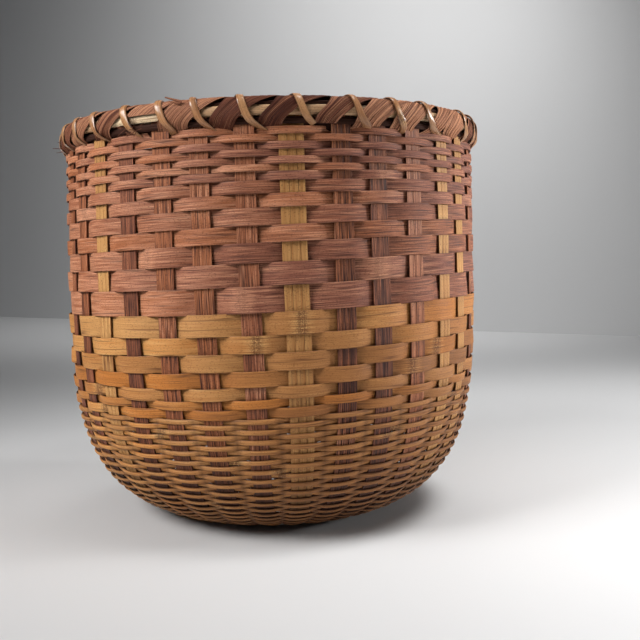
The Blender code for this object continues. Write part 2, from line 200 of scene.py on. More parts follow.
class Wall:
    """Turns a place in the weave, in uprights round and in metres up the wall, into a point."""

    REACH = 0.0015  # length each way over which the wall's direction is averaged
    RADIUS_POWER, LEVEL_POWER = 1.07, 0.33  # fullness of the curve from the base into the wall
    CURVE_POINTS = 600
    INSET = 0.0025  # from the top of the hoops down to the ends of the uprights
    DRIFT_RATE = 1.5  # an upright has drifted fully two thirds of the way up

    def __init__(self, sizes):
        self.sizes = sizes
        self.hoop_top = sizes.height - sizes.rim_layers
        self.hoop_low = self.hoop_top - sizes.hoop_height
        self.upright_top = self.hoop_top - self.INSET
        turn = np.linspace(0.0, 0.5 * math.pi, self.CURVE_POINTS)
        out_share = np.sin(turn) ** self.RADIUS_POWER
        up_share = 1.0 - np.abs(np.cos(turn)) ** self.LEVEL_POWER
        radius = sizes.floor_radius + (sizes.wall_radius - sizes.floor_radius) * out_share
        level = sizes.base_level + sizes.belly_height * up_share
        self.radii = np.append(radius, sizes.wall_radius)
        self.levels = np.append(level, self.upright_top)
        steps = np.hypot(np.diff(self.radii), np.diff(self.levels))
        self.lengths = np.concatenate([[0.0], np.cumsum(steps)])
        self.weave_top = self.lengths[-1] - (self.upright_top - self.hoop_low + CLEARANCE)
        self.weave_low = float(np.interp(sizes.first_row_radius, radius, self.lengths[:-1]))
        sides = [side_of(upright) for upright in range(UPRIGHTS)]
        self.headings = np.array([heading for heading, _ in sides])
        self.places = np.array([place for _, place in sides])
        self.drift = upright_drift()

    def line(self, along):
        """Radius and level at a length up the wall."""
        return np.interp(along, self.lengths, self.radii), np.interp(along, self.lengths, self.levels)

    def uphill(self, along):
        """Radial and upward parts of the direction up the wall."""
        low, high = self.line(along - self.REACH), self.line(along + self.REACH)
        size = np.hypot(high[0] - low[0], high[1] - low[1])
        return (high[0] - low[0]) / size, (high[1] - low[1]) / size

    def upright_angle(self, upright, along):
        """Straight out of the base first, then fanned out evenly, leaning and a little adrift."""
        sizes = self.sizes
        radius, level = self.line(along)
        heading, place = self.headings[upright % UPRIGHTS], self.places[upright % UPRIGHTS]
        straight = np.arcsin(np.clip(place * sizes.base_pitch / radius, -1.0, 1.0))
        up_share = (level - sizes.base_level) / (self.upright_top - sizes.base_level)
        drift = self.drift[upright % UPRIGHTS] * np.minimum(self.DRIFT_RATE * up_share, 1.0)
        fanned = place * STEP - sizes.upright_lean * up_share + drift
        return heading + straight + (fanned - straight) * smoothstep(along / sizes.fan_length)

    def angle(self, place, along):
        """Angle round the wall of a place between two uprights."""
        low = np.floor(place).astype(int)
        near, far = self.upright_angle(low, along), self.upright_angle(low + 1, along)
        return near + (place - low) * ((far - near) % (2.0 * math.pi))

    def risen(self, along, place):
        """Rows climb on the right and fall on the left, but stay level at the rim and at the base."""
        sizes = self.sizes
        from_rim = smoothstep((self.weave_top - along) / sizes.rise_blend)
        from_base = smoothstep((along - self.weave_low) / sizes.rise_blend)
        return along + sizes.row_rise * from_rim * from_base * np.sin(place * STEP)


def side_of(upright):
    """Which way an upright leaves the base, and its place among those that leave with it."""
    place = (upright + LONG_STRIPS // 2) % UPRIGHTS
    for side in range(4):
        count = CROSS_STRIPS if side % 2 else LONG_STRIPS
        if place < count:
            return side * 0.5 * math.pi, place - 0.5 * (count - 1)
        place -= count
    raise ValueError(upright)


# degrees by which the uprights in front stand out of their even places, counted from the middle
DRIFT_SEEN = {
    -6: -0.5, -5: -0.6, -4: -0.9, -3: -0.8, -2: -1.6, -1: -1.3,
    0: -1.1, 1: 0.2, 2: -1.0, 3: -0.7, 4: 0.4, 5: -0.5,
}
DRIFT_MOST = 0.9  # the same by chance for the others


def upright_drift():
    """How far, in radians, each upright stands out of its even place."""
    drift = np.random.default_rng(34).uniform(-DRIFT_MOST, DRIFT_MOST, UPRIGHTS)
    for upright, degrees in DRIFT_SEEN.items():
        drift[upright % UPRIGHTS] = degrees
    return np.radians(drift)


def deselect_all():
    if bpy.context.object and bpy.context.object.mode != "OBJECT":
        bpy.ops.object.mode_set(mode="OBJECT")
    bpy.ops.object.select_all(action="DESELECT")


# A strip's outline has ten points, from its left edge over the face and back along the underside:
# how far each lies outwards in half thicknesses, which two the crown lifts, and the darkening on each,
# which is painted shade with some grime at the edges and on the underside.
OUTLINE_OUT = np.array([-0.35, 0.35, 1.0, 1.0, 1.0, 1.0, 0.35, -0.35, -1.0, -1.0])
OUTLINE_CROWN = np.array([0.0, 0.0, 0.0, 1.0, 1.0, 0.0, 0.0, 0.0, 0.0, 0.0])
OUTLINE_DIRT = np.array([0.75, 0.55, 0.0, 0.0, 0.0, 0.0, 0.55, 0.75, 0.75, 0.75])
CROWN_PLACE = 0.45  # how far across the two crowned points lie, in half widths
UNDERSIDE = slice(8, 10)  # points on the underside, and how far the UV map sets them apart
UNDERSIDE_SHIFT = 0.1


def strip_outline(half_width, half_thickness, edge, crown):
    """Outline of a strip at every station: how far its ten points lie across and outwards."""
    face = CROWN_PLACE * half_width
    inset = half_width - np.minimum(edge, face)
    across = np.stack([
        -half_width, -half_width, -inset, -face, face, inset, half_width, half_width, inset, -inset,
    ], axis=-1)
    return across, OUTLINE_OUT * half_thickness[:, None] + OUTLINE_CROWN * crown


def lay_strands(name, line, half_width, thickness, strands, key, marks, *, contrast, **settings):
    """A strip that has split along its length, as separate strands side by side."""
    gap, straying, knots = 0.00004, 0.07, 1.5
    centre, across, outward = line
    chance = np.random.default_rng(key)
    borders = np.cumsum(np.append(0.0, chance.uniform(0.7, 1.3, strands)))
    borders = 2.0 * borders / borders[-1] - 1.0
    stations = 0.1 * np.arange(len(centre))
    pieces = []
    for strand in range(strands):
        low, high = (
            border + (abs(border) < 0.99) * straying * wander(key + 1 + strand + side, stations, knots)
            for side, border in enumerate(borders[strand:strand + 2])
        )
        middle = 0.5 * (low + high) * half_width
        half = 0.5 * (high - low) * half_width - 0.5 * gap
        own = dict(marks)
        own["tone"] = marks["tone"] + chance.uniform(-contrast, contrast)
        pieces.append(lay_strip(
            f"{name}_{strand}", centre + across * middle[:, None], across, outward, half,
            0.5 * thickness * chance.uniform(0.8, 1.0), marks=own, **settings
        ))
    return join(name, pieces)


def lay_strip(name, centre, across, outward, half_width, half_thickness, *, edge, crown=0.0, **settings):
    """A strip along a line, with its width and thickness at every station."""
    stations = len(centre)
    wide, out = strip_outline(
        np.broadcast_to(half_width, stations), np.broadcast_to(half_thickness, stations), edge, crown
    )
    points = centre[:, None] + across[:, None] * wide[..., None] + outward[:, None] * out[..., None]
    return roll_strip(name, points, wide, **settings)


def roll_strip(name, points, wide, *, start, side, marks, material, closed=False):
    """A grid is added, rolled into a strip and closed; its UV map counts metres along and across.

    The map begins at the start along the strip and at the side across it, so that no two look alike.
    """
    stations, sides = points.shape[:2]
    if closed:
        points = np.concatenate([points, points[:1]])
    points = np.concatenate([points, points[:, :1]], axis=1)
    rows = len(points)
    deselect_all()
    bpy.ops.mesh.primitive_grid_add(x_subdivisions=rows - 1, y_subdivisions=sides, size=1.0)
    piece = bpy.context.object
    piece.name = name
    mesh = piece.data
    mesh.name = name
    flat = np.zeros(len(mesh.vertices) * 3)
    mesh.vertices.foreach_get("co", flat)
    flat = flat.reshape(-1, 3)
    at_row = np.rint((flat[:, 0] + 0.5) * (rows - 1)).astype(int)
    at_side = np.rint((flat[:, 1] + 0.5) * sides).astype(int)
    mesh.vertices.foreach_set("co", points[at_row, at_side].ravel())
    run = np.concatenate([[0.0], np.cumsum(np.linalg.norm(np.diff(points[:, 0], axis=0), axis=1))])
    middle = wide[stations // 2]
    girth = side + np.append(middle, middle[0])
    girth[UNDERSIDE] += UNDERSIDE_SHIFT
    corners = np.zeros(len(mesh.loops), dtype=int)
    mesh.loops.foreach_get("vertex_index", corners)
    uv = mesh.uv_layers[0]
    uv.name = "strip"
    uv.data.foreach_set("uv", np.stack([start + run[at_row], girth[at_side]], axis=-1)[corners].ravel())
    for mark, values in marks.items():
        values = np.broadcast_to(values, stations)
        if closed:
            values = np.append(values, values[0])
        values = values[at_row].astype(float)
        # the edges and the underside get their painted shade, with some grime, here
        if mark == "dirt":
            values += OUTLINE_DIRT[at_side % sides]
        mesh.attributes.new(mark, "FLOAT", "POINT").data.foreach_set("value", values)
    bpy.ops.object.mode_set(mode="EDIT")
    bpy.ops.mesh.select_all(action="SELECT")
    bpy.ops.mesh.remove_doubles(threshold=1e-6)
    if not closed:
        bpy.ops.mesh.select_all(action="DESELECT")
        bpy.ops.mesh.select_non_manifold()
        bpy.ops.mesh.fill_holes(sides=0)
    bpy.ops.mesh.select_all(action="SELECT")
    bpy.ops.mesh.normals_make_consistent(inside=False)
    bpy.ops.object.mode_set(mode="OBJECT")
    bpy.ops.object.shade_smooth_by_angle(angle=math.radians(30.0))
    mesh.materials.clear()
    mesh.materials.append(material)
    return piece


def join(name, pieces):
    deselect_all()
    for piece in pieces:
        piece.select_set(True)
    bpy.context.view_layer.objects.active = pieces[0]
    if len(pieces) > 1:
        bpy.ops.object.join()
    whole = bpy.context.object
    whole.name = name
    whole.data.name = name
    return whole


def seat(piece, slot, *nodes):
    """The piece rides with the basket and stands for its solids; the slot it is given is not used."""
    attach(piece, BODY)
    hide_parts(*nodes)


# Materials


def add(tree, kind, inputs=None, **settings):
    """Adds a node, with its settings, and links or sets its inputs."""
    node = tree.nodes.new(kind)
    for name, value in settings.items():
        setattr(node, name, value)
    for socket, value in (inputs or {}).items():
        if isinstance(value, bpy.types.NodeSocket):
            tree.links.new(value, node.inputs[socket])
        else:
            node.inputs[socket].default_value = value
    return node


def maths(tree, operation, first, second=0.0, clamp=False):
    values = {0: first, 1: second}
    return add(tree, "ShaderNodeMath", values, operation=operation, use_clamp=clamp).outputs[0]


def plus(tree, first, second):
    return maths(tree, "ADD", first, second)


def minus(tree, first, second):
    return maths(tree, "SUBTRACT", first, second)


def times(tree, first, second, clamp=False):
    return maths(tree, "MULTIPLY", first, second, clamp)


def over(tree, first, second):
    return maths(tree, "DIVIDE", first, second)


def mix(tree, share, first, second):
    return add(tree, "ShaderNodeMix", {0: share, 6: first, 7: second}, data_type="RGBA").outputs[2]


def spread(tree, value, low, high, new_low=0.0, new_high=1.0):
    """Stretches a range of values to another one, and stops at its ends."""
    return add(tree, "ShaderNodeMapRange", {0: value, 1: low, 2: high, 3: new_low, 4: new_high}).outputs[0]


def point_at(tree, along, across, layer=0.0):
    return add(tree, "ShaderNodeCombineXYZ", {0: along, 1: across, 2: layer}).outputs[0]


def noise(tree, along, across, layer=0.0, detail=2.0):
    place = point_at(tree, along, across, layer)
    inputs = {"Vector": place, "Scale": 1.0, "Detail": detail, "Roughness": 0.6}
    return add(tree, "ShaderNodeTexNoise", inputs).outputs[0]


def attribute(tree, name):
    return add(tree, "ShaderNodeAttribute", attribute_name=name).outputs["Fac"]


def strip_place(tree):
    """Metres along and across a strip."""
    place = add(tree, "ShaderNodeSeparateXYZ", {0: add(tree, "ShaderNodeUVMap", uv_map="strip").outputs[0]})
    return place.outputs[0], place.outputs[1]


FLOAT, COLOUR = "NodeSocketFloat", "NodeSocketColor"


def new_group(name, inputs, outputs):
    group = bpy.data.node_groups.new(name, "ShaderNodeTree")
    for label, kind, default in inputs:
        group.interface.new_socket(label, in_out="INPUT", socket_type=kind).default_value = default
    for label, kind in outputs:
        group.interface.new_socket(label, in_out="OUTPUT", socket_type=kind)
    return group, group.nodes.new("NodeGroupInput"), group.nodes.new("NodeGroupOutput")


def give(group, result, values):
    for label, value in values.items():
        group.links.new(value, result.inputs[label])
    return group


def fibre_group(name):
    """Fine streaks, broad streaks and splits that run along a strip, and their relief."""
    group, given, result = new_group(
        name,
        [("Streak Width", FLOAT, 0.0008), ("Streak Length", FLOAT, 0.03),
         ("Split Width", FLOAT, 0.004), ("Split Amount", FLOAT, 0.5)],
        [("Streaks", FLOAT), ("Broad", FLOAT), ("Splits", FLOAT), ("Height", FLOAT)],
    )
    split_length, split_bend, steepness = 0.12, 0.5, 6.0
    along, across = strip_place(group)
    fine_along = over(group, along, given.outputs["Streak Length"])
    fine_across = over(group, across, given.outputs["Streak Width"])
    fine = noise(group, fine_along, fine_across)
    broad = noise(group, times(group, fine_along, 0.45), times(group, fine_across, 0.25), 7.3)
    streaks = spread(group, fine, 0.30, 0.70)
    patches = spread(group, broad, 0.30, 0.70)
    straight = over(group, across, given.outputs["Split Width"])
    split_across = plus(group, straight, times(group, broad, split_bend))
    split_at = point_at(group, over(group, along, split_length), split_across)
    cells = add(
        group, "ShaderNodeTexVoronoi", {"Vector": split_at, "Scale": 1.0, "Randomness": 0.85},
        feature="DISTANCE_TO_EDGE", voronoi_dimensions="2D",
    ).outputs[0]
    line = spread(group, cells, 0.0, 0.13, 1.0, 0.0)
    open_from = minus(group, 0.85, given.outputs["Split Amount"])
    opened = times(group, minus(group, patches, open_from), steepness, clamp=True)
    splits = times(group, line, opened)
    ridges = plus(group, streaks, times(group, patches, 0.5))
    height = minus(group, ridges, splits)
    return give(group, result, {"Streaks": streaks, "Broad": patches, "Splits": splits, "Height": height})


def joint_group(name):
    """Rings where the bamboo had its joints: ragged double lines, speckles and rubbed fibres."""
    group, given, result = new_group(
        name,
        [("Spacing", FLOAT, JOINT_SPACING), ("Streaks", FLOAT, 0.5), ("Ring Share", FLOAT, 0.7)],
        [("Rings", FLOAT), ("Rubbed", FLOAT), ("Height", FLOAT)],
    )
    speck, raggedness, line_place = 0.0009, 0.0016, 0.0014
    along, across = strip_place(group)
    away = maths(group, "PINGPONG", along, times(group, given.outputs["Spacing"], 0.5))
    specks = noise(group, over(group, along, speck), over(group, across, speck), 3.1, detail=1.0)
    ragged = plus(group, away, times(group, minus(group, specks, 0.5), raggedness))
    off_line = maths(group, "ABSOLUTE", minus(group, ragged, line_place))
    line = spread(group, off_line, 0.0002, 0.0009, 1.0, 0.0)
    inside = spread(group, ragged, 0.0020, 0.0055, 1.0, 0.0)
    speckled = times(group, inside, spread(group, specks, 0.38, 0.54))
    rings = maths(group, "MAXIMUM", times(group, line, 0.80), speckled)
    rings = times(group, rings, given.outputs["Ring Share"])
    near = spread(group, away, 0.0015, 0.010, 1.0, 0.0)
    rubbed = times(group, near, spread(group, given.outputs["Streaks"], 0.25, 0.75))
    height = minus(group, spread(group, away, 0.0, 0.004, 1.0, 0.0), rings)
    return give(group, result, {"Rings": rings, "Rubbed": rubbed, "Height": height})


def age_group(name):
    """Colour of old bamboo: light and dark streaks, warm and dull lengths, splits, joints, and darkening
    that is painted shade with some grime.
    """
    group, given, result = new_group(
        name,
        [("Colour", COLOUR, (0.5, 0.3, 0.1, 1.0)), ("Warm", COLOUR, (0.6, 0.3, 0.1, 1.0)),
         ("Deep", COLOUR, (0.2, 0.1, 0.05, 1.0)), ("Light", COLOUR, (0.8, 0.6, 0.3, 1.0)),
         ("Crevice", COLOUR, (0.04, 0.016, 0.010, 1.0)), ("Contrast", FLOAT, 1.0), ("Streaks", FLOAT, 0.5),
         ("Broad", FLOAT, 0.5), ("Splits", FLOAT, 0.0), ("Rings", FLOAT, 0.0), ("Rubbed", FLOAT, 0.0)],
        [("Colour", COLOUR)],
    )
    ring_colour, full_mix, most_dirt = (0.10, 0.030, 0.015, 1.0), 0.9, 0.9
    speck_length, speck_width = 0.0013, 0.0007
    fine = minus(group, given.outputs["Streaks"], 0.5)
    broad = times(group, minus(group, given.outputs["Broad"], 0.5), 0.45)
    streaked = times(group, plus(group, fine, broad), given.outputs["Contrast"])
    light = plus(group, streaked, minus(group, attribute(group, "tone"), 0.5))
    light = plus(group, light, times(group, given.outputs["Rubbed"], 0.9))
    warmth = times(group, attribute(group, "warm"), 1.0, clamp=True)
    shade = mix(group, warmth, given.outputs["Colour"], given.outputs["Warm"])
    shade = mix(group, spread(group, light, 0.0, full_mix), shade, given.outputs["Light"])
    shade = mix(group, spread(group, light, 0.0, -full_mix), shade, given.outputs["Deep"])
    along, across = strip_place(group)
    speck_along, speck_across = over(group, along, speck_length), over(group, across, speck_width)
    specks = noise(group, speck_along, speck_across, 9.7, detail=1.0)
    specks = spread(group, specks, 0.56, 0.70, 0.0, 0.45)
    marked = maths(group, "MAXIMUM", times(group, given.outputs["Splits"], 0.85), specks)
    shade = mix(group, marked, shade, given.outputs["Deep"])
    shade = mix(group, given.outputs["Rings"], shade, ring_colour)
    # darkening towards the crevice colour: painted shade, with some grime
    dirt = maths(group, "MINIMUM", attribute(group, "dirt"), most_dirt)
    return give(group, result, {"Colour": mix(group, dirt, shade, given.outputs["Crevice"])})


def place_group(tree, name, make):
    """Places a node group, which is made once and used by every finish."""
    return add(tree, "ShaderNodeGroup", node_tree=bpy.data.node_groups.get(name) or make(name))


def bamboo(name, base, warm, deep, light, *, streak, split, contrast, rough, relief,
           coat=0.0, specular=0.3, rings=0.7):
    """A finish of bamboo strip: fibres along it, joints, aged colour, and a broken sheen."""
    made = bpy.data.materials.get(name)
    if made:
        return made
    made = bpy.data.materials.new(name)
    made.use_nodes = True
    tree = made.node_tree
    shader = tree.nodes["Principled BSDF"]
    fibres = place_group(tree, "bamboo_fibres", fibre_group)
    labels = ("Streak Width", "Streak Length", "Split Width", "Split Amount")
    for label, value in zip(labels, (*streak, *split)):
        fibres.inputs[label].default_value = value
    joints = place_group(tree, "bamboo_joints", joint_group)
    joints.inputs["Ring Share"].default_value = rings
    tree.links.new(fibres.outputs["Streaks"], joints.inputs["Streaks"])
    age = place_group(tree, "bamboo_age", age_group)
    for label, value in (("Colour", base), ("Warm", warm), ("Deep", deep), ("Light", light)):
        age.inputs[label].default_value = (*value, 1.0)
    age.inputs["Contrast"].default_value = contrast
    for label in ("Streaks", "Broad", "Splits"):
        tree.links.new(fibres.outputs[label], age.inputs[label])
    for label in ("Rings", "Rubbed"):
        tree.links.new(joints.outputs[label], age.inputs[label])
    tree.links.new(age.outputs["Colour"], shader.inputs["Base Color"])
    sheen = spread(tree, fibres.outputs["Streaks"], 0.1, 0.9, *rough)
    tree.links.new(sheen, shader.inputs["Roughness"])
    height = plus(tree, fibres.outputs["Height"], joints.outputs["Height"])
    bump = add(tree, "ShaderNodeBump", {"Height": height, "Strength": 1.0, "Distance": relief})
    tree.links.new(bump.outputs[0], shader.inputs["Normal"])
    shader.inputs["Coat Weight"].default_value = coat
    shader.inputs["Coat Roughness"].default_value = 0.2
    shader.inputs["Specular IOR Level"].default_value = specular
    return made


def smoked_bamboo(finishes):
    return bamboo(
        "smoked_strip", finishes.smoked, finishes.smoked_warm, finishes.smoked_deep, finishes.smoked_light,
        streak=(0.00042, 0.030), split=(0.0045, 0.24), contrast=1.5, rough=(0.50, 0.68),
        relief=0.00014, rings=0.3,
    )


def tan_bamboo(finishes):
    return bamboo(
        "tan_strip", finishes.tan, finishes.tan_warm, finishes.tan_deep, finishes.tan_light,
        streak=(0.00045, 0.040), split=(0.0050, 0.28), contrast=0.60, rough=(0.48, 0.64),
        relief=0.00008, specular=0.22,
    )


def pale_bamboo(finishes):
    return bamboo(
        "pale_lath", finishes.pale, finishes.tan, finishes.tan_deep, finishes.pale_light,
        streak=(0.0009, 0.030), split=(0.006, 0.30), contrast=0.5, rough=(0.45, 0.60),
        relief=0.00010,
    )


def dark_bamboo(finishes):
    return bamboo(
        "wrapping_strip", finishes.wrap, finishes.smoked, finishes.smoked_deep, finishes.wrap_light,
        streak=(0.0008, 0.045), split=(0.0030, 0.55), contrast=1.4, rough=(0.52, 0.68),
        relief=0.00014, specular=0.12,
    )


# Near-black laths above and below the pale one: their darkness is painted shade.
def filler_bamboo(finishes):
    return bamboo(
        "filler_strip", finishes.smoked_deep, finishes.smoked_deep, finishes.smoked_deep, finishes.wrap,
        streak=(0.0009, 0.040), split=(0.0030, 0.55), contrast=1.0, rough=(0.60, 0.80),
        relief=0.00020, specular=0.08,
    )


def binding_bamboo(finishes):
    return bamboo(
        "binding_strip", finishes.binding, finishes.binding_warm, finishes.tan_deep, finishes.tan_light,
        streak=(0.0009, 0.040), split=(0.004, 0.20), contrast=0.5, rough=(0.24, 0.36),
        relief=0.00006, coat=0.35,
    )


# Woven strips


def woven_finish(finishes, tan):
    """Slot and material of a woven strip."""
    return ("tan_bamboo", tan_bamboo(finishes)) if tan else ("smoked_bamboo", smoked_bamboo(finishes))


SUNNY_SIDE = 6.0  # uprights from the front round to the left, where the weavers are painted lightest and are warmest
# how much the tone of a weaver changes from there to the opposite side, and from these two to the sides
# between them, as painted light and shade; and by chance over two uprights and over six
TONE_ROUND, TONE_SIDES, TONE_SHORT, TONE_LONG = 0.15, 0.14, 0.18, 0.10
WARM, WARM_ROUND, WARM_LENGTHS = 0.30, 0.35, 0.60
LOW_LEVEL = 0.085  # height below which the fine rows grow duller towards the floor, and darker by painted shade

# how far weavers stray from their lines, up the wall together and alone, and outwards; how much
# their width changes, and how far they tilt
STRAY_TOGETHER, STRAY_ALONE, STRAY_OUT = 0.00045, 0.00015, 0.00020
STRAY_WIDTH = 0.00010
STRAY_TILT = math.radians(5.0)
HUG_LEVEL = 0.012  # height above the base over which weavers keep closer to the uprights


def dive(swing, reach):
    """1 where a strip passes in between two uprights, and 0 where it lies over or behind one."""
    return np.clip(1.0 - np.abs(swing) / reach, 0.0, 1.0)


def weaver_marks(key, places, swing, tone):
    """Lighter, darker and warmer lengths, painted light and shade round the basket, and painted shade, with
    some grime, where the strip dives between the uprights.
    """
    turn = (places + SUNNY_SIDE) * STEP
    # painted light and shade: lightest on the left, darkest just right of the front
    tone_round = TONE_ROUND * np.cos(turn) + TONE_SIDES * np.cos(2.0 * turn)
    lengths = TONE_SHORT * wander(key + 1, places, 1.9) + TONE_LONG * wander(key + 2, places, 6.0)
    return {
        "tone": tone + tone_round + lengths,
        "warm": WARM + WARM_ROUND * np.cos(turn) + WARM_LENGTHS * wander(key + 6, places, 4.0),
        # painted shade, with some grime, where the strip dives between the uprights
        "dirt": 0.26 * dive(swing, 0.18),
    }


def fine_marks(key, places, swing, low):
    """The fine rows are duller than the broad ones, and darker the lower they lie and the further round
    from the lit side, which is painted shade.
    """
    marks = weaver_marks(key, places, swing, 0.46)
    # painted shade towards the floor and away from the lit side
    marks["tone"] -= 0.02 + 0.20 * low + 0.09 * (1.0 - np.cos((places + SUNNY_SIDE) * STEP))
    marks["warm"] -= 0.30 + 0.30 * low
    # painted shade, with some grime, where the strip dives, and painted shade near the floor
    marks["dirt"] = 0.45 * dive(swing, 0.40) + 0.40 * low ** 2
    return marks


def weaver_line(wall, row, key, places, along, height, bulge, shares):
    """Centre, across and outward directions and half widths of a weaver that passes out and in.

    The shares are its width between uprights, over one and behind one, in row heights.
    """
    swing = np.cos(math.pi * (places + row + 1.0))
    shaped = swing * (1.25 - 0.25 * swing ** 2)
    drifting = places + 3.1 * along / 0.03
    along = along + STRAY_TOGETHER * wander(7, drifting, 2.3) + STRAY_ALONE * wander(key, places, 1.3)
    angle = wall.angle(places, along)
    radius, level = wall.line(along)
    out, up = wall.uphill(along)
    across = round_point(out, angle, up)
    outward = round_point(up, angle, -out)
    near_floor = 1.0 - smoothstep((level - wall.sizes.base_level) / HUG_LEVEL)
    swell = bulge + (wall.sizes.low_bulge - bulge) * near_floor
    offset = swell * shaped + STRAY_OUT * (1.0 - near_floor) * wander(key + 3, places, 1.1)
    centre = round_point(radius, angle, level) + outward * offset[:, None]
    tilt = STRAY_TILT * wander(key + 4, places, 2.0)[:, None]
    cos, sin = np.cos(tilt), np.sin(tilt)
    across, outward = across * cos + outward * sin, outward * cos - across * sin
    between, in_front, behind = shares
    crossing = np.where(swing > 0.0, in_front, behind)
    width = height * (between + (crossing - between) * np.abs(swing) ** 1.2)
    half = 0.5 * width + STRAY_WIDTH * wander(key + 5, places, 0.9)
    return (centre, across, outward), half, swing


def turn_places(begin, end, per_gap):
    """Places counted in uprights, with some points to each gap between them."""
    return np.linspace(begin, end, round((end - begin) * per_gap) + 1)


def basket_of(context):
    """The sizes, the finishes, and the wall that the sizes give."""
    sizes = context.scene.basket_sizes
    return sizes, context.scene.basket_finishes, Wall(sizes)


CLIMB_UPRIGHTS = 2.0  # uprights on each side of the back over which a fine weaver climbs


def climb(turn):
    """Turns climbed after some turns from the back: level in front, rising at the back."""
    whole = np.floor(turn)
    share = turn - whole
    reach = CLIMB_UPRIGHTS / UPRIGHTS
    before = np.clip(1.0 - share / reach, 0.0, 1.0)
    after = np.clip((share - 1.0 + reach) / reach, 0.0, 1.0)
    return whole + 0.5 * (after - before)


class BASKET_OT_rows(bpy.types.Operator):
    """Weave the broad rows, one closed strip each, from the rim down"""

    bl_idname = "basket.rows"
    bl_label = "Broad rows"

    POINTS_PER_GAP = 9
    # metres by which a row is wider than its height between uprights, over one and behind one
    WIDER = np.array([0.0004, 0.0002, 0.0012])
    # how far round the front, in uprights, a joint of the bamboo shows on some of the rows
    JOINTS_SEEN = {
        6: 2.6, 7: 2.4, 10: 0.1, 11: 3.2, 12: -3.4, 13: 2.1, 14: -1.1, 15: 0.2, 16: -0.9, 17: 3.7,
        18: 2.7, 20: 1.8,
    }
    NO_JOINT = 8.0  # the same for the other rows, where it is out of sight
    TONE, TONE_CHANCE, SMOKED_TONE = 0.47, 0.12, 0.05
    # rows that are lighter or darker than the rest
    TONES = {4: 0.08, 7: 0.08, 8: 0.10, 11: 0.05, 14: 0.10, 18: -0.14, 19: -0.16, 20: -0.10, 21: -0.14}

    def execute(self, context):
        sizes, finishes, wall = basket_of(context)
        top = wall.weave_top
        chance = np.random.default_rng(21)
        tones = self.TONE + chance.uniform(-self.TONE_CHANCE, self.TONE_CHANCE, len(sizes.row_heights))
        tones[:sizes.smoked_rows] += self.SMOKED_TONE
        for row, more in self.TONES.items():
            tones[row - 1] += more
        for row, height in enumerate(sizes.row_heights, start=1):
            begin = BACK if (row + BACK) % 2 == 0 else BACK + 1
            places = turn_places(begin, begin + UPRIGHTS, self.POINTS_PER_GAP)[:-1]
            along = wall.risen(top - 0.5 * height, places)
            top -= height
            line, half, swing = weaver_line(
                wall, row, 100 * row, places, along, height, sizes.row_bulge, 1.0 + self.WIDER / height
            )
            slot, material = woven_finish(finishes, row > sizes.smoked_rows)
            joint_place = self.JOINTS_SEEN.get(row, self.NO_JOINT) + UPRIGHTS - begin
            joint = joint_place * STEP * sizes.wall_radius
            piece = lay_strip(
                f"row_{row:02d}_strip", *line, half, 0.5 * sizes.row_thickness,
                edge=0.00040, crown=0.00010, closed=True,
                start=JOINT_SPACING * 5 - joint, side=0.37 * row,
                marks=weaver_marks(100 * row, places, swing, tones[row - 1]), material=material,
            )
            seat(piece, slot, f"row_{row:02d}_weaver")
        return {"FINISHED"}


class BASKET_OT_fine_rows(bpy.types.Operator):
    """Weave the two fine weavers that chase each other up the turn of the base"""

    bl_idname = "basket.fine_rows"
    bl_label = "Fine rows"

    POINTS_PER_GAP = 8
    LENGTHS = 4  # spliced end to end in each of the two weavers
    END_GAP = 0.02  # part of the gap between uprights by which a length stops short of its end
    FIRST_INSET = 2  # uprights from the back to a weaver's first end
    SHIFT = 7  # uprights by which the second weaver's splices come before the first's
    # width between uprights and behind one, in row heights; over one it is narrower near the floor
    BETWEEN, BEHIND = 1.02, 1.45
    IN_FRONT, LOW_LESS = 0.94, 0.20

    def execute(self, context):
        sizes, finishes, wall = basket_of(context)
        top = wall.weave_top - sum(sizes.row_heights)
        turns = max(2, round((top - wall.weave_low) / (2.0 * sizes.fine_height)))
        height = (top - wall.weave_low) / (2.0 * turns)
        for weaver in range(2):
            row = len(sizes.row_heights) + 2 * turns - weaver
            ends = self.splices(turns, weaver, (row + BACK) % 2)
            for number, (begin, end) in enumerate(zip(ends, ends[1:])):
                name = f"{'ab'[weaver]}{number + 1}"
                order = self.LENGTHS * weaver + number
                key = 3000 + 100 * order
                stations = turn_places(begin + self.END_GAP, end - self.END_GAP, self.POINTS_PER_GAP)
                rows_up = weaver + 0.5 + 2.0 * climb(stations / UPRIGHTS)
                places = BACK + stations
                along = wall.risen(wall.weave_low + rows_up * height, places)
                low = 1.0 - smoothstep(wall.line(along)[1] / LOW_LEVEL)
                shares = self.BETWEEN, self.IN_FRONT - self.LOW_LESS * low, self.BEHIND
                line, half, swing = weaver_line(
                    wall, row, key, places, along, height, sizes.fine_bulge, shares
                )
                piece = lay_strip(
                    f"fine_strip_{name}", *line, half, 0.5 * sizes.fine_thickness,
                    edge=0.0006, crown=0.00030, start=5.3 * order + 0.1, side=11.0 + 0.41 * order,
                    marks=fine_marks(key, places, swing, low), material=tan_bamboo(finishes),
                )
                seat(piece, "tan_bamboo", f"fine_weaver_{name}")
        return {"FINISHED"}

    def splices(self, turns, weaver, hidden):
        """Where the lengths of a weaver end, all behind uprights."""
        inset = self.FIRST_INSET + (self.FIRST_INSET + hidden) % 2
        share = (turns * UPRIGHTS - 2 * inset) / self.LENGTHS
        between = [
            inset + 2 * round(0.5 * (number * share - self.SHIFT * weaver))
            for number in range(1, self.LENGTHS)
        ]
        return [inset, *between, turns * UPRIGHTS - inset]


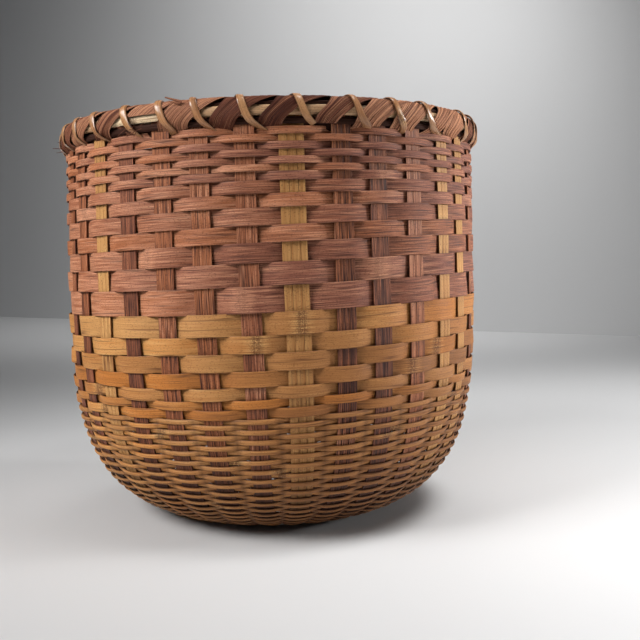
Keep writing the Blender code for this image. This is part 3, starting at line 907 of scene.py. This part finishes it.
class BASKET_OT_uprights(bpy.types.Operator):
    """Plait the base and turn its strips up as the uprights"""

    bl_idname = "basket.uprights"
    bl_label = "Base and uprights"

    TAN = {"long_upright_strip_5", "long_upright_strip_9", "cross_upright_strip_1"}
    # tone low on the wall, how much lighter they are above, their warmth, how much their strands
    # differ, and up to where they are darkened by painted shade near the floor
    SMOKED_LOOK = (0.20, 0.24, 0.7, 0.30, 0.032)
    TAN_LOOK = (0.76, 0.06, -0.2, 0.10, 0.018)
    LIGHT_FROM, LIGHT_OVER = 0.155, 0.050  # height from which they grow lighter, and over which
    DIRTY_OVER = 0.055  # height over which the painted shade fades

    def execute(self, context):
        sizes, finishes, wall = basket_of(context)
        groups = (
            ("long", LONG_STRIPS, CROSS_STRIPS, 0.0, -(LONG_STRIPS // 2)),
            ("cross", CROSS_STRIPS, LONG_STRIPS, 0.5 * math.pi, LONG_STRIPS - LONG_STRIPS // 2),
        )
        tones = np.random.default_rng(17).uniform(-0.12, 0.12, LONG_STRIPS + CROSS_STRIPS)
        for group, count, crossings, heading, first in groups:
            for index in range(count):
                node = f"{group}_upright_strip_{index + 1}"
                ends = first + index, first + count - 1 - index + BACK
                line, width = upright_line(wall, index, count, crossings, heading, ends)
                number = index + (LONG_STRIPS if group == "cross" else 0)
                stations = 0.12 * np.arange(len(width))
                tan = node in self.TAN
                tone, lighter, warm, contrast, dirty_to = self.TAN_LOOK if tan else self.SMOKED_LOOK
                if not tan:
                    tone += tones[number]
                slot, material = woven_finish(finishes, tan)
                levels = line[0][:, 2]
                marks = {
                    "tone": tone + 0.12 * wander(800 + number, stations, 3.0)
                    + lighter * smoothstep((levels - self.LIGHT_FROM) / self.LIGHT_OVER),
                    "warm": warm + 0.4 * wander(850 + number, stations, 4.0),
                    # painted shade on the base and low on the wall
                    "dirt": 0.04 + 0.86 * (1.0 - smoothstep((levels - dirty_to) / self.DIRTY_OVER)),
                }
                piece = lay_strands(
                    f"{group}_strip_{index + 1}", line, 0.5 * width, sizes.strip_thickness,
                    3 if tan else 1 + number % 3, 900 + number, marks, edge=0.00018, crown=0.00006,
                    contrast=contrast, start=200.0 + 3.13 * number, side=20.0 + 0.33 * number,
                    material=material,
                )
                seat(piece, slot, node)
        return {"FINISHED"}


def upright_line(wall, index, count, crossings, heading, ends):
    """Line of one strip, from the rim down, across the base and up to the rim again, and its width."""
    sizes = wall.sizes
    close = 0.040  # length up the wall below which the points lie closer
    points_on_base = 110
    along = np.concatenate([np.arange(wall.lengths[-1], close, -0.005), np.arange(close, 0.0, -0.0025)])
    centres, outwards, widths = [], [], []
    for upright, order in zip(ends, (along, along[::-1])):
        angle = wall.upright_angle(np.array(upright), order)
        radius, level = wall.line(order)
        out, up = wall.uphill(order)
        full = sizes.wide_width if upright % BACK == 0 else sizes.upright_width
        share = (radius - sizes.floor_radius) / (sizes.wall_radius - sizes.floor_radius)
        centres.append(round_point(radius, angle, level))
        outwards.append(round_point(up, angle, -out))
        widths.append(sizes.base_width + (full - sizes.base_width) * np.clip(share, 0.0, 1.0))
    offset = (index - 0.5 * (count - 1)) * sizes.base_pitch
    half_run = math.sqrt(sizes.floor_radius ** 2 - offset ** 2)
    reach = 0.5 * (crossings - 1) * sizes.base_pitch
    run = np.linspace(-half_run, half_run, points_on_base)[1:-1]
    swing = np.cos(math.pi * ((run + reach) / sizes.base_pitch + index))
    plaited = reach + 0.5 * sizes.base_width
    beyond = (np.abs(run) - plaited) / (half_run - plaited)
    rise = 0.5 * (sizes.strip_thickness + CLEARANCE)
    lift = rise * np.tanh(3.0 * swing) * (1.0 - smoothstep(beyond))
    level = sizes.base_level + (lift if heading else -lift)
    turned = round_point(run, np.full(len(run), heading + math.pi), level)
    turned[:, :2] += offset * np.array([math.cos(heading), math.sin(heading)])
    down = np.tile((0.0, 0.0, -1.0), (len(run), 1))
    centre = np.concatenate([centres[0], turned, centres[1]])
    outward = np.concatenate([outwards[0], down, outwards[1]])
    width = np.concatenate([widths[0], np.full(len(run), sizes.base_width), widths[1]])
    run_along = unit(np.gradient(centre, axis=0))
    across = unit(np.cross(run_along, outward))
    return (centre, across, np.cross(across, run_along)), width


# Rim


INNER_DROP = 0.0044  # how much lower the rim reaches on the inside


def plain_marks(count, tone=0.5, warm=0.3, dirt=0.0):
    return {"tone": np.full(count, tone), "warm": np.full(count, warm), "dirt": np.full(count, dirt)}


class BASKET_OT_hoops(bpy.types.Operator):
    """Make the outer and the inner hoop of the rim, each a pale lath between two fillers painted near black
    as shade
    """

    bl_idname = "basket.hoops"
    bl_label = "Rim hoops"

    # height of the middle of each lath above the hoop's own, its half height, and how far its
    # face stands back; the first is the pale one, and the second reaches lower inside
    LATHS = ((0.0020, 0.0035, 0.0008), (-0.0050, 0.0024, 0.0026), (0.0068, 0.0013, 0.0020))
    POINTS_PER_GAP = 6
    SAG = 0.0003  # how far a lath strays up and down
    # painted shade: lessened at the pale lath's edges, and near black over the fillers
    PALE_DIRT, FILLER_DIRT = -0.5, 0.88
    # in degrees round from the front: where the wrapping is torn, and how far from there the lath is
    # as dark as elsewhere, and over how much it fades
    TORN_AT, RUBBED_TO, RUBBED_OVER = -41.0, 11.0, 5.0
    # how much paler the lath is there: its fresh face, together with painted light
    RUBBED_TONE = 0.95

    def execute(self, context):
        sizes, finishes, wall = basket_of(context)
        count = self.POINTS_PER_GAP * UPRIGHTS
        round_rim = 2.0 * math.pi
        angles = np.linspace(0.0, round_rim, count, endpoint=False)
        half_strip = 0.5 * sizes.strip_thickness + CLEARANCE
        for number, (name, away) in enumerate((("outer_hoop", 1.0), ("inner_hoop", -1.0))):
            laths = []
            for lath, (rise, half, back) in enumerate(self.LATHS):
                if lath == 1 and away < 0.0:
                    rise, half = rise - 0.5 * INNER_DROP, half + 0.5 * INNER_DROP
                thickness = sizes.hoop_thickness - back
                radius = sizes.wall_radius + away * (half_strip + 0.5 * thickness)
                level = 0.5 * (wall.hoop_low + wall.hoop_top) + rise
                level = level + self.SAG * wander(61 + lath, angles, 0.5, round_rim)
                centre = round_point(radius, angles, level)
                marks = plain_marks(count, warm=0.1, dirt=self.FILLER_DIRT if lath else self.PALE_DIRT)
                marks["tone"] += 0.14 * wander(65 + lath, angles, 0.25, round_rim)
                if lath == 0:
                    # painted light, together with the paler fresh face, where the wrapping is torn
                    marks["tone"] += self.rubbed(angles)
                laths.append(lay_strip(
                    f"{name}_lath_{lath}", centre, np.tile((0.0, 0.0, away), (count, 1)),
                    round_point(away, angles, 0.0), half, 0.45 * thickness, edge=0.0012, crown=0.0002,
                    closed=True, start=300.2 + 9.0 * number, side=30.0 + lath, marks=marks,
                    material=filler_bamboo(finishes) if lath else pale_bamboo(finishes),
                ))
            seat(join(f"{name}_laths", laths), "pale_bamboo", name)
        return {"FINISHED"}

    def rubbed(self, angles):
        """The lath is palest where the wrapping over it is torn: its split face is fresh there, and painted
        light where it lies open.
        """
        away = np.abs((np.degrees(angles) - self.TORN_AT + 180.0) % 360.0 - 180.0)
        return self.RUBBED_TONE * smoothstep((self.RUBBED_TO - away) / self.RUBBED_OVER)


def rim_outline(wall, grow):
    """Corners of the rim's section, grown outwards: low outside, up, over, and down to low inside."""
    sizes = wall.sizes
    half = 0.5 * sizes.strip_thickness + CLEARANCE + sizes.hoop_thickness + grow
    outer, inner = sizes.wall_radius + half, sizes.wall_radius - half
    low, high = wall.hoop_low + 0.0026 - grow, wall.hoop_top + 0.0020 + grow
    inner_low = low - INNER_DROP
    low_in, low_up, high_in, high_down = 0.0030, 0.0045, 0.0036, 0.0048  # its corners, cut off
    return np.array([
        (outer - low_in, low), (outer, low + low_up), (outer, high - high_down), (outer - high_in, high),
        (inner + high_in, high), (inner, high - high_down), (inner, inner_low + low_up),
        (inner + low_in, inner_low),
    ])


def cut_corners(points, rounds):
    """A smoother line, with each corner replaced by two."""
    for _ in range(rounds):
        near = 0.75 * points[:-1] + 0.25 * points[1:]
        far = 0.25 * points[:-1] + 0.75 * points[1:]
        middle = np.stack([near, far], axis=1).reshape(-1, points.shape[1])
        points = np.concatenate([points[:1], middle, points[-1:]])
    return points


class Winding:
    """A strip wound round one half of the rim, one loop to each gap between uprights."""

    ROUNDS = 2  # times that its corners are cut
    STRAY, SLANT = 0.05, 0.08  # how far loops stray by chance, in gaps between uprights
    EDGE_SHARE = 0.10  # rounding of a ribbon's edge, in half widths
    TILT = 0.00013  # how far a ribbon's edges stand out or in, so that strands overlap

    def __init__(self, wall, first, start, advances, leftward, seen, key):
        self.wall, self.first, self.start, self.advances = wall, first, start, advances
        self.leftward = leftward
        self.widths = np.ones((BACK, len(advances)))
        chance = np.random.default_rng(key)
        self.shifts = chance.uniform(-self.STRAY, self.STRAY, BACK)
        self.slants = chance.uniform(-self.SLANT, self.SLANT, BACK)
        for loop in range(BACK):
            if self.number(loop) in seen:
                self.shifts[loop] = math.radians(seen[self.number(loop)]) / STEP

    def number(self, loop):
        """Place of a loop, counted to the right from the middle of the front."""
        return loop + self.first - (UPRIGHTS if self.first else 0)

    def ribbon(self, lift, aside, half_aside, half_thickness, begin, end):
        """Points of a strip that hugs the rim across its whole width, which is counted in loops."""
        edge = self.EDGE_SHARE * half_aside
        asides, outs = strip_outline(np.array([half_aside]), np.array([half_thickness]), edge, 0.0)
        outs = outs - self.TILT * asides / half_aside
        points = np.stack([
            self.line(lift + out, aside + beside, begin, end)[0] for beside, out in zip(asides[0], outs[0])
        ], axis=1)
        return points, np.broadcast_to(asides * STEP * self.wall.sizes.wall_radius, points.shape[:2])

    def line(self, grow, aside=0.0, begin=0.0, end=BACK):
        """Centre, across and outward directions between two places counted in loops."""
        outline = rim_outline(self.wall, grow)
        middle = outline.mean(axis=0)
        corners = outline[::-1] if self.leftward else outline
        points = []
        for loop in range(BACK):
            for place, (radius, level) in enumerate(corners):
                advance = self.advances[place]
                turn = self.first + loop + self.start + advance + self.shifts[loop]
                turn += self.slants[loop] * (advance - 0.5) + aside * self.widths[loop, place]
                points.append((radius, level, turn * STEP - self.wall.sizes.upright_lean))
        line = cut_corners(np.array(points), self.ROUNDS)
        places = np.linspace(0.0, BACK, len(line))
        line = line[(places >= begin) & (places <= end)]
        centre = round_point(line[:, 0], line[:, 2], line[:, 1])
        away = unit(line[:, :2] - middle)
        outward = round_point(away[:, 0], line[:, 2], away[:, 1])
        along = unit(np.gradient(centre, axis=0))
        across = unit(np.cross(along, outward))
        return centre, across, np.cross(across, along)


class BASKET_OT_wrapping(bpy.types.Operator):
    """Wind the dark wrapping strips round the rim, torn open in one place"""

    bl_idname = "basket.wrapping"
    bl_label = "Rim wrapping"

    START = 0.50
    ADVANCES = (0.0, 0.07, 0.40, 0.68, 0.85, 0.92, 0.96, 0.98)
    STRANDS = 6
    # part of the gap between loops that a bundle covers, at each corner of the rim's section
    WIDTHS = (0.50, 0.57, 0.68, 1.06, 1.16, 1.16, 1.10, 0.80)
    # counted from the middle: degrees by which loops in front stand out of their even places, how
    # much wider than that they are on the face, how much lighter, and the tone of the loops that
    # one broad strip covers
    SEEN = {
        -7: -4.0, -6: -4.8, -5: -3.1, -4: -2.5, -3: -2.4, -2: -1.2, -1: -0.3,
        0: 1.6, 1: 1.6, 2: 0.5, 3: 1.6, 4: -1.6,
    }
    COVERS = {-5: 1.10, -3: 1.40, -2: 1.08, -1: 1.0, 0: 0.98, 1: 1.25, 2: 1.30, 3: 1.0, 4: 1.45}
    # partly own colour, partly painted light and shade: lighter on the left loops where light falls, darker
    # at the front middle, and sheen on loops 1 to 4
    TONES = {
        -6: 0.45, -5: 0.08, -4: 0.20, -2: -0.20, -1: -0.36,
        0: 0.04, 1: 0.62, 2: 0.80, 3: 1.10, 4: 0.95,
    }
    WHOLE = {-4: 1.05, -3: 1.02, 3: 1.15}
    COVER, TONE, WHOLE_WARM = 1.35, 0.05, 0.55  # cover and tone of the others, warmth of the broad
    TORN = BACK - 4  # loop of the left half that is torn open on the face
    OVERLAP = 0.53  # half width of a strand, in strands
    LIFT, LIFT_EACH = 0.0005, 0.00007  # air under the first strand, and how much more each has
    FACE = 0.0062  # from the wall's radius to where loose fibres start on the rim's face
    FIBRE_POINTS = 6

    def execute(self, context):
        sizes, finishes, wall = basket_of(context)
        material = dark_bamboo(finishes)
        for side, first in HALVES:
            winding = Winding(wall, first, self.START, self.ADVANCES, False, self.SEEN, first + 5)
            numbers = [winding.number(loop) for loop in range(BACK)]
            covers = np.array([self.COVERS.get(number, self.COVER) for number in numbers])
            tones = np.array([self.TONES.get(number, self.TONE) for number in numbers])
            winding.widths = np.tile(self.WIDTHS, (BACK, 1))
            winding.widths[:, :3] *= covers[:, None]
            chance = np.random.default_rng(first + 31)
            pieces = []
            for strand in range(self.STRANDS):
                spans = [(0.0, float(BACK))]
                if side == "left":
                    spans = [(0.0, self.TORN + chance.uniform(0.02, 0.08)),
                             (self.TORN + chance.uniform(0.255, 0.275), float(BACK))]
                aside = (strand + 0.5) / self.STRANDS - 0.5
                lift, tone = self.LIFT + self.LIFT_EACH * strand, chance.uniform(-0.20, 0.20)
                for span, (begin, end) in enumerate(spans):
                    points, wide = winding.ribbon(
                        lift, aside, self.OVERLAP / self.STRANDS, 0.5 * sizes.wrap_thickness, begin, end
                    )
                    count = len(points)
                    marks = plain_marks(count)
                    stations = begin + (end - begin) * np.linspace(0.0, 1.0, count)
                    marks["tone"] += tone + 0.22 * wander(4000 + first + strand, stations, 0.7)
                    marks["tone"] += tones[np.floor(stations + 0.2).astype(int) % BACK]
                    marks["warm"] += 0.4 * wander(4050 + first + strand, stations, 1.7)
                    for number, whole_tone in self.WHOLE.items():
                        if number in numbers:
                            whole = smoothstep(4.0 - 8.0 * np.abs(stations - number % BACK - 0.3))
                            marks["tone"] += (whole_tone - marks["tone"]) * whole
                            marks["warm"] += (self.WHOLE_WARM - marks["warm"]) * whole
                    pieces.append(roll_strip(
                        f"wrap_{side}_{strand}_{span}", points, wide, start=400.2 + 9.0 * strand + first,
                        side=40.0 + strand, marks=marks, material=material,
                    ))
            if side == "left":
                pieces += self.frays(wall, material)
            seat(join(f"rim_wrap_{side}_strips", pieces), "dark_bamboo", f"rim_wrap_{side}")
        return {"FINISHED"}

    def frays(self, wall, material):
        """Torn fibres below the gap, a sprig at the left and a loose end on top."""
        draw = np.random.default_rng(77).uniform
        loose, under = (-4.1, 0.0040, 0.0010), (-2.6, 0.0022, 0.0012)
        fibres = [
            self.fibre("loose_end", wall, -27.0, 0.3095, loose, 0.0011, 0.85, material),
            self.fibre("loose_end_under", wall, -27.5, 0.3085, under, 0.0008, 0.60, material),
        ]
        for number in range(5):
            degrees, level = -76.0 + draw(-3.0, 3.0), 0.292 + draw(-0.002, 0.002)
            reach = draw(-3.0, 3.0), draw(-0.002, 0.006), draw(0.004, 0.008)
            fibres.append(
                self.fibre(f"sprig_{number}", wall, degrees, level, reach, 0.00035, 0.3, material)
            )
        for number in range(16):
            degrees, level = -41.0 + draw(-3.2, 3.2), 0.2945 + draw(-0.002, 0.002)
            reach = draw(-2.5, 2.5), draw(-0.004, 0.003), draw(0.0003, 0.0016)
            tone = draw(0.2, 0.6)
            fibres.append(
                self.fibre(f"torn_{number}", wall, degrees, level, reach, 0.00028, tone, material)
            )
        return fibres

    def fibre(self, name, wall, degrees, level, reach, half_width, tone, material):
        """A short loose fibre from a place on the rim's face; its reach is in degrees round, up and out."""
        turned, up, out = reach
        share = np.linspace(0.0, 1.0, self.FIBRE_POINTS)
        radius = wall.sizes.wall_radius + self.FACE + out * share ** 2
        angle = np.radians(degrees + turned * share)
        centre = round_point(radius, angle, level + up * share)
        outward = round_point(1.0, angle, 0.0)
        along = unit(np.gradient(centre, axis=0))
        across = unit(np.cross(along, outward))
        half = half_width * (1.0 - 0.6 * share)
        return lay_strip(
            name, centre, across, np.cross(across, along), half, 0.00018, edge=0.0001,
            start=480.3 + 0.2 * len(name), side=60.0, marks=plain_marks(self.FIBRE_POINTS, tone=tone),
            material=material,
        )


class BASKET_OT_binding(bpy.types.Operator):
    """Wind the narrow glossy binding over the wrapping"""

    bl_idname = "basket.binding"
    bl_label = "Rim binding"

    START = 0.41
    ADVANCES = (0.0, 0.04, 0.40, 0.50, 0.56, 0.60, 0.73, 0.90)
    # degrees by which loops in front stand out of their even places, counted from the middle
    SEEN = {
        -7: -0.1, -6: -1.0, -5: 0.3, -4: -0.1, -3: -1.9, -2: -1.5, -1: 0.7, 0: 3.1, 1: 3.3, 2: 2.7,
        3: 10.1, 4: 8.5, 5: 6.5, 6: 4.5, 7: 2.0,
    }
    LIFT = 0.0017  # from the rim's section to the middle of the binding

    def execute(self, context):
        sizes, finishes, wall = basket_of(context)
        for side, first in HALVES:
            winding = Winding(wall, first, self.START, self.ADVANCES, True, self.SEEN, first + 9)
            line = winding.line(self.LIFT)
            stations = np.linspace(0.0, BACK, len(line[0]))
            marks = plain_marks(len(stations))
            marks["tone"] += 0.16 * wander(4500 + first, stations, 0.8)
            marks["warm"] += 0.4 * wander(4550 + first, stations, 1.6)
            half = 0.5 * sizes.binding_width * (1.0 + 0.10 * wander(4600 + first, stations, 0.5))
            piece = lay_strip(
                f"rim_binding_{side}_strip", *line, half, 0.5 * sizes.binding_thickness,
                edge=0.0005, crown=0.0002, start=500.1 + first, side=70.0, marks=marks,
                material=binding_bamboo(finishes),
            )
            seat(piece, "tan_bamboo", f"rim_binding_{side}")
        return {"FINISHED"}


# Stage


def area_light(name, place, aim, size, beam, power):
    deselect_all()
    bpy.ops.object.light_add(type="AREA", location=place)
    light = bpy.context.object
    light.name = name
    light.data.size = size
    light.data.spread = beam
    light.data.energy = power
    light.rotation_euler = (Vector(aim) - Vector(place)).to_track_quat("-Z", "Y").to_euler()


def stage_plane(name, size, place, turn, material):
    deselect_all()
    bpy.ops.mesh.primitive_plane_add(size=size, location=place, rotation=turn)
    plane = bpy.context.object
    plane.name = name
    plane.data.materials.append(material)


class BASKET_OT_stage(bpy.types.Operator):
    """Set the camera, the pale floor and backdrop, and the soft light"""

    bl_idname = "basket.stage"
    bl_label = "Stage"

    SENSOR = 36.0
    PALE = (0.70, 0.70, 0.70, 1.0)
    BACKDROP_PLACE = (0.224, 2.061, 2.0)
    BACKDROP_TURN = (math.radians(90.0), 0.0, math.radians(-42.75))
    SKY, SKY_STRENGTH = (0.90, 0.94, 1.0, 1.0), 0.06
    # place, aim, size, width of the beam in degrees, and power in watts
    LIGHTS = {
        "window_left": ((-1.16, -0.58, 1.05), (0.0, 0.0, 0.16), 0.7, 60.0, 3.1),
        "window_left_side": ((-1.28, -0.09, 1.05), (0.0, 0.0, 0.16), 0.6, 50.0, 0.35),
        "side_right": ((1.28, -0.14, 0.45), (0.12, 0.0, 0.26), 0.4, 20.0, 0.52),
        "floor_front": ((0.0, -1.0, 1.7), (0.0, -0.75, 0.0), 1.0, 80.0, 0.4),
        "floor_right": ((0.8, -0.5, 1.6), (0.7, -0.25, 0.0), 0.8, 60.0, 6.3),
        "floor_back": ((0.3, 1.0, 1.6), (0.3, 0.7, 0.0), 0.7, 80.0, 1.2),
        "wall_high": ((0.3, 0.9, 2.0), (0.2, 2.0, 0.9), 0.7, 90.0, 5.3),
        "wall_middle": ((0.55, 0.75, 1.1), (0.45, 1.95, 0.35), 0.6, 100.0, 2.75),
    }

    def execute(self, context):
        view = context.scene.basket_view
        place = Vector(round_point(view.distance, view.round, view.level))
        deselect_all()
        bpy.ops.object.camera_add(location=place)
        camera = context.object
        camera.name = "camera"
        camera.data.lens = view.lens
        camera.data.sensor_width = self.SENSOR
        camera.data.shift_x, camera.data.shift_y = view.shift
        upright = Vector((-place.x, -place.y, 0.0)).to_track_quat("-Z", "Y")
        camera.rotation_euler = (upright @ Quaternion((0.0, 0.0, 1.0), -view.roll)).to_euler()
        context.scene.camera = camera
        context.scene.view_settings.view_transform = "Standard"
        made = bpy.data.materials.new("pale_stage")
        made.use_nodes = True
        shader = made.node_tree.nodes["Principled BSDF"]
        shader.inputs["Base Color"].default_value = self.PALE
        shader.inputs["Roughness"].default_value = 0.7
        stage_plane("floor", 12.0, (0.0, 0.0, 0.0), (0.0, 0.0, 0.0), made)
        stage_plane("backdrop", 14.0, self.BACKDROP_PLACE, self.BACKDROP_TURN, made)
        world = context.scene.world or bpy.data.worlds.new("studio")
        context.scene.world = world
        world.use_nodes = True
        background = world.node_tree.nodes["Background"]
        background.inputs["Color"].default_value = self.SKY
        background.inputs["Strength"].default_value = self.SKY_STRENGTH
        for name, (light_at, aim, size, beam, power) in self.LIGHTS.items():
            area_light(name, light_at, aim, size, math.radians(beam), power)
        return {"FINISHED"}


class BASKET_PT_panel(bpy.types.Panel):
    """Lists the steps that make the basket"""

    bl_label = "Bamboo basket"
    bl_idname = "BASKET_PT_panel"
    bl_space_type = "VIEW_3D"
    bl_region_type = "UI"
    bl_category = "Basket"

    def draw(self, context):
        for step in STEPS:
            self.layout.operator(step.bl_idname)
        for group in ("basket_sizes", "basket_finishes", "basket_view"):
            settings = getattr(context.scene, group)
            box = self.layout.box()
            for name in settings.bl_rna.properties.keys():
                if name not in {"rna_type", "name"}:
                    box.prop(settings, name)


STEPS = (
    BASKET_OT_stage,
    BASKET_OT_uprights,
    BASKET_OT_rows,
    BASKET_OT_fine_rows,
    BASKET_OT_hoops,
    BASKET_OT_wrapping,
    BASKET_OT_binding,
)
CLASSES = (BasketSizes, BasketFinishes, BasketView, *STEPS, BASKET_PT_panel)


def register():
    for made in CLASSES:
        bpy.utils.register_class(made)
    bpy.types.Scene.basket_sizes = PointerProperty(type=BasketSizes)
    bpy.types.Scene.basket_finishes = PointerProperty(type=BasketFinishes)
    bpy.types.Scene.basket_view = PointerProperty(type=BasketView)


def unregister():
    del bpy.types.Scene.basket_view
    del bpy.types.Scene.basket_finishes
    del bpy.types.Scene.basket_sizes
    for made in reversed(CLASSES):
        bpy.utils.unregister_class(made)


def main():
    register()
    for step in STEPS:
        group, name = step.bl_idname.split(".")
        getattr(getattr(bpy.ops, group), name)()


if __name__ == "__main__":
    main()
